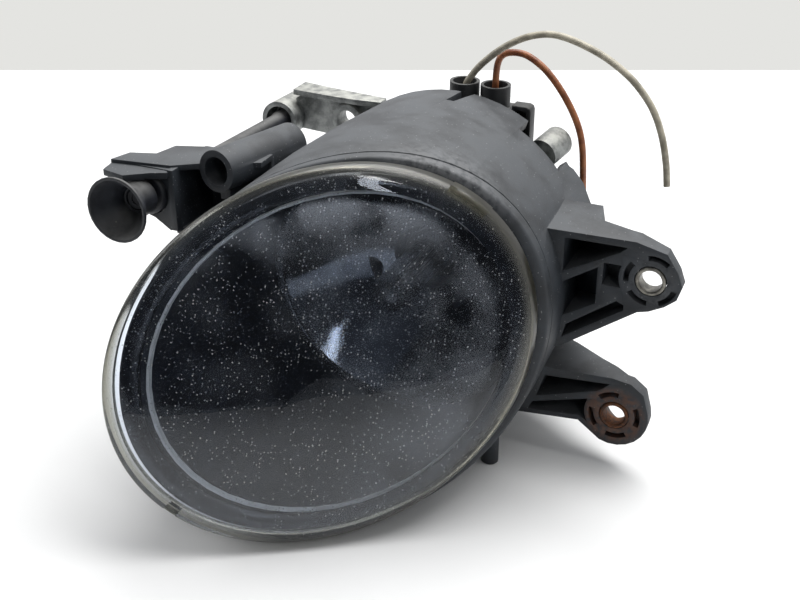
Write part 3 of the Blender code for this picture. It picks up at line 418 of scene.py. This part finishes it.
for node, edge in softSet["edgeMm"].items():
    softCopy(node, edge, softSet)
print("softened copies made")

replacedLater = {"front_ring", "lens", "lens_gasket", "reflector", "adjuster_rod", "wire_white", "wire_brown"}
for node, part in frame["nodes"].items():
    if node not in softSet["edgeMm"] and node not in replacedLater:
        paint(part, finishes[slotOf[node]])


# a closed section of (radius, y) in mm, spun about Y; part of a turn, in degrees, keeps its end faces
def spun(name, section, turns, start=0, sweep=360):
    bpy.ops.object.select_all(action="DESELECT")
    bpy.ops.mesh.primitive_circle_add(vertices=len(section), radius=mm,
                                      fill_type="NOTHING" if sweep == 360 else "NGON", calc_uvs=False)
    piece = bpy.context.object
    piece.name = piece.data.name = name
    across, up = math.cos(math.radians(start)), math.sin(math.radians(start))
    for vert, (radius, y) in zip(piece.data.vertices, section):
        vert.co = (radius * mm * across, y * mm, radius * mm * up)
    bpy.ops.object.mode_set(mode="EDIT")
    bpy.ops.mesh.select_all(action="SELECT")
    bpy.ops.mesh.spin(steps=turns, angle=-math.radians(sweep), center=(0, 0, 0), axis=(0, 1, 0))
    bpy.ops.mesh.select_all(action="SELECT")
    bpy.ops.mesh.remove_doubles(threshold=0.01 * mm)
    bpy.ops.mesh.delete_loose()
    bpy.ops.mesh.select_all(action="SELECT")
    bpy.ops.mesh.normals_make_consistent(inside=False)
    bpy.ops.object.mode_set(mode="OBJECT")
    return piece


# lays a piece on the raked front plane, about a centre in mm
def raked(piece, centre):
    slope = Matrix.Identity(4)
    slope[1][0], slope[1][2] = rake["x"], rake["z"]
    centre = Vector(centre)
    piece.data.transform(slope @ Matrix.Translation(Vector((centre.x, 0, centre.z)) * mm))
    piece.data.transform(Matrix.Translation(place((0, centre.y, 0))))
    return piece


# lays a piece's Y along a direction, with its own origin at a place in mm
def aimed(piece, start, direction=(0, 1, 0)):
    turn = Vector(direction).to_track_quat("Y", "Z").to_matrix().to_4x4()
    piece.data.transform(Matrix.Translation(place(start)) @ turn)
    return piece


lensShape = {"front": [(0, -1.6), (15, -1.45), (28, -1.1), (38, -0.6), (43.4, -0.25), (44.4, -0.1),
                       (45.2, -0.1)],
             "beadCentre": (46.6, 3.3), "bead": 3.4, "beadFrom": 100, "beadSteps": 10,
             "rear": [(50, 4.8), (48.4, 4.8), (48.2, 3.9), (46.6, 2.9), (43.6, 2.3), (28, 1.3), (0, 0.8)],
             "turns": 160}


# a shallow dome, a round outer bead and a stepped back
def lensSection(s):
    outer = []
    for step in range(1, s["beadSteps"] + 1):
        turn = math.radians(s["beadFrom"] * (1 - step / s["beadSteps"]))
        outer.append((s["beadCentre"][0] + s["bead"] * math.cos(turn),
                      s["beadCentre"][1] - s["bead"] * math.sin(turn)))
    return s["front"] + outer + s["rear"]


lens = raked(spun("headLens", lensSection(lensShape), lensShape["turns"]), (0, 0, 0))
notch = {"turn": -129.5, "from": 46.6, "halfWidth": 1.7, "wall": 0.2, "floor": 2.2, "reach": 5}


# location notch through the outer bead at the lower left: four cuts, then what is between them set back
def cutNotch(s):
    turn = math.radians(s["turn"])
    out, side = Vector((math.cos(turn), 0, math.sin(turn))), Vector((-math.sin(turn), 0, math.cos(turn)))
    middle = place((0, 0, 0))
    only(lens)
    bpy.ops.object.mode_set(mode="EDIT")
    for offset in (s["halfWidth"], s["halfWidth"] + s["wall"], -s["halfWidth"], -s["halfWidth"] - s["wall"]):
        bpy.ops.object.mode_set(mode="OBJECT")
        for face in lens.data.polygons:
            flat = (face.center - middle) / mm
            face.select = flat.dot(out) > s["from"] - s["reach"] + 1 and abs(flat.dot(side)) < s["reach"]
        bpy.ops.object.mode_set(mode="EDIT")
        bpy.ops.mesh.bisect(plane_co=middle + side * offset * mm, plane_no=side)
    bpy.ops.object.mode_set(mode="OBJECT")
    for vert in lens.data.vertices:
        flat = (vert.co - middle) / mm
        lean = rake["x"] * flat.x + rake["z"] * flat.z
        between = flat.dot(out) > s["from"] and abs(flat.dot(side)) < s["halfWidth"] + s["wall"] / 2
        if between and flat.y - lean < s["floor"]:
            vert.co.y = middle.y + (lean + s["floor"]) * mm


cutNotch(notch)
smooth(lens, 35)
paint(lens, finishes["clear_lens"])
finish(lens, "optical_unit", "clear_lens", "lens")

# the adhesive bed under the lens's flange, a little off the lens's own centre
bandShape = {"section": [(43.05, 4.4), (43.4, 3.7), (45.0, 3.35), (47.0, 3.7), (47.2, 4.6), (46.4, 5.0),
                         (45.3, 7.1), (44.8, 7.1), (44.7, 5.4), (43.2, 5.3)],
             "turns": 120, "centre": (0.3, 0, -0.2)}
band = raked(spun("lensAdhesiveBand", bandShape["section"], bandShape["turns"]), bandShape["centre"])
smooth(band, 50)
paint(band, gum)
finish(band, "optical_unit", "rubber", "lens_gasket")

# moulding tab on the lens's rim, at the upper right
tabShape = {"section": [(48.5, 0.5), (49.6, 0.7), (50.5, 1.5), (50.5, 4.2), (49.9, 4.6), (48.9, 4.6)],
            "turns": 16, "start": 60, "sweep": 14}
tab = spun("lensTab", tabShape["section"], tabShape["turns"], tabShape["start"], tabShape["sweep"])
raked(tab, (0, 0, 0))
smooth(tab, 35)
paint(tab, finishes["clear_lens"])
finish(tab, "optical_unit", "clear_lens")
print("lens made")

# the housing's front edge, with rounded corners
ringShape = {"section": [(50.8, 9.1), (50.65, 8.65), (50.2, 8.4), (48.1, 8.4), (47.8, 8.55), (47.7, 8.9),
                         (47.7, 14.1), (47.95, 14.1), (47.95, 12.3), (50.5, 12.3), (50.8, 12.0)],
             "turns": 160}
ring = raked(spun("frontRing", ringShape["section"], ringShape["turns"]), axis)
smooth(ring, 40)
paint(ring, finishes["housing_plastic"])
finish(ring, "housing", "housing_plastic", "front_ring")

# metal-coated bowl behind a straight wall that was masked from the metal
bowl = {"bore": 42.0, "outer": 43.8, "lip": 44.6, "lipEnd": 10.2, "front": 7.4, "edge": 51.5,
        "straightEnd": 49.5, "focus": 18.0, "vertex": 76.0, "wall": 2.2, "collarBore": 10.9, "collar": 14.6,
        "collarFront": 76.6,
        "collarEnd": 90.0, "groove": 13.1, "grooveFrom": 84.0, "grooveTo": 87.4, "wallSteps": 10,
        "bowlSteps": 28, "turns": 128}
posts = {"radius": 19.4, "at": (80, 200, 320), "turns": 28,
         "section": [(0, 80.2), (3.1, 80.2), (3.4, 79.9), (4.2, 71), (0, 71)]}


def bowlSection(s):
    back = s["vertex"] - s["collarBore"] ** 2 / (4 * s["focus"])
    long = s["straightEnd"] - s["front"]
    straight = [s["front"] + long * i / s["wallSteps"] for i in range(s["wallSteps"] + 1)]
    depths = [s["edge"] + (back - s["edge"]) * i / s["bowlSteps"] for i in range(s["bowlSteps"] + 1)]
    dish = [(math.sqrt(4 * s["focus"] * (s["vertex"] - y)), y) for y in depths]
    inner = [(s["bore"], y) for y in straight] + [(radius - 0.01, y) for radius, y in dish]
    inner += [(s["collarBore"], back + 0.8), (s["collarBore"], s["grooveFrom"]),
              (s["groove"], s["grooveFrom"]), (s["groove"], s["grooveTo"]),
              (s["collarBore"], s["grooveTo"]), (s["collarBore"], s["collarEnd"])]
    outer = [(s["collar"], s["collarEnd"]), (s["collar"], s["collarFront"])]
    outer += [(radius + s["wall"], y + 1.6) for radius, y in reversed(dish[:-1])]
    outer += [(s["outer"], y) for y in reversed(straight[1:])]
    return inner + outer + [(s["lip"], s["lipEnd"]), (s["lip"], s["front"])]


def makeReflector(s):
    piece = spun("reflectorShell", bowlSection(s), s["turns"])
    for vert in piece.data.vertices:              # the straight wall stretches forwards to the raked plane
        x, y, z = vert.co / mm
        share = max(0.0, min(1.0, (s["straightEnd"] - y) / (s["straightEnd"] - s["front"])))
        vert.co.y += share * (rake["x"] * (x + axis.x) + rake["z"] * (z + axis.z)) * mm
    aimed(piece, axis)
    smooth(piece, 30)
    paint(piece, finishes["mirror_coat"])
    piece.data.materials.append(skirt)
    for face in piece.data.polygons:              # metal only inside the bowl
        centre = (face.center - place(axis)) / mm
        flat = Vector((centre.x, 0, centre.z))
        inside = centre.y > s["edge"] and face.normal.dot(flat) < 0 and flat.length > s["collarBore"] + 0.1
        face.material_index = 0 if inside else 1
    finish(piece, "optical_unit", "mirror_coat", "reflector")


def addPosts(s):
    for number, angle in enumerate(s["at"], 1):
        turn = math.radians(angle)
        at = (axis.x + s["radius"] * math.cos(turn), 0, axis.z + s["radius"] * math.sin(turn))
        post = aimed(spun(f"reflectorPost{number}", s["section"], s["turns"]), at)
        smooth(post)
        paint(post, skirt)
        finish(post, "optical_unit", "mirror_coat")


makeReflector(bowl)
addPosts(posts)

stepShape = {"section": [(41.7, 50.6), (41.7, 51.3), (39.6, 51.9), (39.2, 51.6), (39.4, 50.9), (40.2, 50.6)],
             "turns": 96}
step = aimed(spun("bowlStep", stepShape["section"], stepShape["turns"]), axis)
smooth(step, 30)
paint(step, finishes["mirror_coat"])
finish(step, "optical_unit", "mirror_coat")
print("reflector made")

# aiming screw: socket head, plain shank and a ridged thread at its far end
rodShape = {"head": [(0, 9.6), (1.6, 9.6), (1.6, 9.3), (2.9, 9.3), (2.9, 25.6), (2.5, 26), (2.5, 92),
                     (2.9, 92.6)],
            "crest": 3.0, "root": 2.55, "threadAt": 93, "halfLead": 0.75, "flanks": 24,
            "end": [(2.4, 112), (0, 112)], "turns": 40}


def rodSection(s):
    thread = [(s["crest"] if flank % 2 else s["root"], s["threadAt"] + flank * s["halfLead"])
              for flank in range(s["flanks"])]
    return s["head"] + thread + s["end"]


rod = spun("adjusterScrew", rodSection(rodShape), rodShape["turns"])
aimed(rod, screwFront, screwRear - screwFront)
smooth(rod, 50)
paint(rod, finishes["black_plastic"])
finish(rod, "screw_turn", "black_plastic", "adjuster_rod")
print("aiming screw made")

# small screw at the right end of the cast arm
armScrewShape = {"section": [(0, 0), (2.3, 0), (2.6, 0.3), (2.6, 1.2), (1.5, 1.3), (1.5, 2.8), (0, 2.8)],
                 "turns": 28, "at": (-29.4, 99.7, 33.0)}
armScrew = aimed(spun("armScrew", armScrewShape["section"], armScrewShape["turns"]), armScrewShape["at"])
smooth(armScrew)
paint(armScrew, finishes["steel"])
finish(armScrew, "optical_unit", "steel")

# the routes' points in metres, from the plug's tubes to the cut ends
whiteRoute = [(-0.00375, 0.0643, 0.0901), (-0.00375, 0.0643, 0.0945), (-0.00355, 0.0643, 0.0979),
              (-0.00135, 0.064, 0.1017), (0.00225, 0.0631, 0.1061), (0.00795, 0.0617, 0.1113),
              (0.01365, 0.0617, 0.1151), (0.01925, 0.062, 0.1174), (0.02505, 0.0625, 0.1182),
              (0.03165, 0.0627, 0.117), (0.03975, 0.0627, 0.114), (0.04585, 0.0625, 0.1107),
              (0.05195, 0.0622, 0.1061), (0.05755, 0.062, 0.0994), (0.06125, 0.0618, 0.0915),
              (0.06355, 0.0615, 0.0829), (0.06465, 0.0613, 0.0754)]
brownRoute = [(0.00675, 0.0643, 0.0901), (0.00675, 0.0643, 0.0945), (0.00665, 0.0643, 0.0999),
              (0.00695, 0.0648, 0.1062), (0.00855, 0.0653, 0.1093), (0.01245, 0.0653, 0.1104),
              (0.01725, 0.0649, 0.1097), (0.02325, 0.0645, 0.1059), (0.02905, 0.0643, 0.0993),
              (0.03385, 0.0643, 0.0911), (0.03625, 0.0643, 0.0833), (0.03735, 0.0643, 0.0715),
              (0.03765, 0.0643, 0.0609), (0.03705, 0.0643, 0.0509)]
wireSet = {"radius": 1.1, "stepMm": 1.2, "fineSteps": 40, "sides": 4}


# evenly spaced points on the Catmull-Rom curve through a route, and its length
def smoothRoute(points, s):
    route = [Vector(p) for p in points]
    ends = [2 * route[0] - route[1]] + route + [2 * route[-1] - route[-2]]
    fine = []
    for a, b, c, d in zip(ends, ends[1:], ends[2:], ends[3:]):
        for part in range(s["fineSteps"]):
            t = part / s["fineSteps"]
            fine.append(0.5 * (2 * b + (c - a) * t + (2 * a - 5 * b + 4 * c - d) * t * t
                               + (3 * b - a - 3 * c + d) * t ** 3))
    fine.append(route[-1])
    total = sum((q - p).length for p, q in zip(fine, fine[1:]))
    count = round(total / (s["stepMm"] * mm))
    places, walked, target = [fine[0]], 0.0, total / count
    for p, q in zip(fine, fine[1:]):
        walked += (q - p).length
        if walked >= target and len(places) < count:
            places.append(q)
            target = total / count * len(places)
    return places + [fine[-1]], total


def addWire(name, route, slot, node, s):
    line, length = smoothRoute(route, s)
    data = bpy.data.curves.new(name, "CURVE")
    data.dimensions, data.bevel_depth = "3D", s["radius"] * mm
    data.bevel_resolution, data.use_fill_caps = s["sides"], True
    spline = data.splines.new("POLY")
    spline.points.add(len(line) - 1)
    for point, where in zip(spline.points, line):
        point.co = (*where, 1)
    spline.use_smooth = True
    piece = bpy.data.objects.new(name, data)
    bpy.context.scene.collection.objects.link(piece)
    paint(piece, finishes[slot])
    finish(piece, "connector", slot, node)


addWire("whiteWire", whiteRoute, "white_insulation", "wire_white", wireSet)
addWire("brownWire", brownRoute, "brown_insulation", "wire_brown", wireSet)
print("wires made")

stageSet = {"farEdge": (-0.155, 0.362, 0), "sink": 0.0002, "size": (4.0, 2.4), "dark": "E2E2E1",
            "light": "EAEAE9", "cloudMm": 90, "rough": 0.55}


# a floor of painted card, faintly mottled, that ends behind the lamp square to the camera
def addStage(s):
    bpy.ops.object.select_all(action="DESELECT")
    bpy.ops.mesh.primitive_plane_add(size=1, location=(0, 0, 0))
    floor = bpy.context.object
    floor.name = "floor"
    wide, deep = s["size"]
    turn = Matrix.Rotation(math.radians(cameraSet["yaw"]), 4, "Z")
    lift = Matrix.Translation(Vector(s["farEdge"]) - Vector((0, 0, s["sink"])))
    floor.data.transform(Matrix.Translation((0, -deep / 2, 0)) @ Matrix.Diagonal((wide, deep, 1, 1)))
    floor.data.transform(lift @ turn)
    made, tree, shader = newMaterial("paintedCard")
    where = addNode(tree, "TexCoord", {}, give="Object")
    cloud = addNode(tree, "TexNoise", {"Vector": where, "Scale": perMm(s["cloudMm"]), "Detail": 3.0})
    tone = addNode(tree, "MapRange", {0: cloud, 1: 0.3, 2: 0.7}, smoothStep)
    colour = addNode(tree, "Mix", {0: tone, 6: linear(s["dark"]), 7: linear(s["light"])}, blend, 2)
    feed(tree, shader, {"Base Color": colour, "Roughness": s["rough"]})
    paint(floor, made)


airSet = {"dim": (0.05, 0.055, 0.065, 1), "bright": (0.85, 0.86, 0.88, 1), "backdrop": "E4E4E1",
          "overhead": 0.3}


# studio air: bright behind the lamp and paler above, dim where nothing is lit, with an even backdrop
def addAir(s):
    world = bpy.data.worlds.new("studio")
    bpy.context.scene.world = world
    world.use_nodes = True
    tree = world.node_tree
    way = addNode(tree, "SeparateXYZ", {0: addNode(tree, "TexCoord", {}, give="Generated")})
    behind = addNode(tree, "MapRange", {0: way.node.outputs[1], 1: -0.35, 2: 0.35}, smoothStep)
    above = addNode(tree, "MapRange", {0: way.node.outputs[2], 1: 0.3, 2: 0.9, 4: s["overhead"]}, smoothStep)
    lit = addNode(tree, "Math", {0: behind, 1: above}, larger)
    shade = addNode(tree, "Mix", {0: lit, 6: s["dim"], 7: s["bright"]}, blend, 2)
    seen = addNode(tree, "LightPath", {}, give="Is Camera Ray")
    shade = addNode(tree, "Mix", {0: seen, 6: shade, 7: linear(s["backdrop"])}, blend, 2)
    feed(tree, tree.nodes["Background"], {"Color": shade})


lamps = {"overhead": {"at": (0.1, 0.25, 0.75), "aim": (0, 0, 0.03), "size": (0.9, 0.5), "watts": 9},
         "left": {"at": (-0.75, -0.1, 0.5), "aim": (0, 0, 0.05), "size": (0.35, 0.5), "watts": 1.9},
         "strip": {"at": (0.5, -0.55, 0.6), "aim": (0, 0, 0.05), "size": (0.06, 0.3), "watts": 0.6}}


def addLamp(name, s):
    data = bpy.data.lights.new(name, "AREA")
    data.shape, data.energy = "RECTANGLE", s["watts"]
    data.size, data.size_y = s["size"]
    lamp = bpy.data.objects.new(name, data)
    bpy.context.scene.collection.objects.link(lamp)
    lamp.location = s["at"]
    lamp.rotation_euler = (Vector(s["aim"]) - Vector(s["at"])).to_track_quat("-Z", "Y").to_euler()


addStage(stageSet)
addAir(airSet)
for name, s in lamps.items():
    addLamp(name, s)
bpy.context.scene.view_settings.view_transform = "Standard"
print("stage and lights made")
